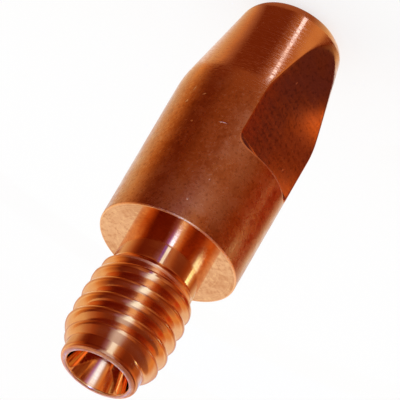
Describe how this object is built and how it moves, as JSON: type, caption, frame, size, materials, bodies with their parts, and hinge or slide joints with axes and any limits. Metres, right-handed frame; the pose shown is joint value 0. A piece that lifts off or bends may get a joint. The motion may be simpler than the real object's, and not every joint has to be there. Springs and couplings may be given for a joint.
{
  "type": "welding contact tip",
  "caption": "Turned copper contact tip: coned nose with spanner flats, shoulder, relief groove, M6 threaded end and a funnelled wire bore.",
  "frame": {"origin": "centre of the nose face, the end that the wire leaves", "axes": "+Z along the bore from the nose to the threaded end; the two spanner flats face -Y and +Y"},
  "size_m": [0.008, 0.008, 0.0242],
  "materials": {
    "copper": "bright turned copper on thread, groove and nose; drawn and slightly tarnished on the body"
  },
  "bodies": {
    "root": {"contact_tip": "copper"}
  },
  "joints": []
}
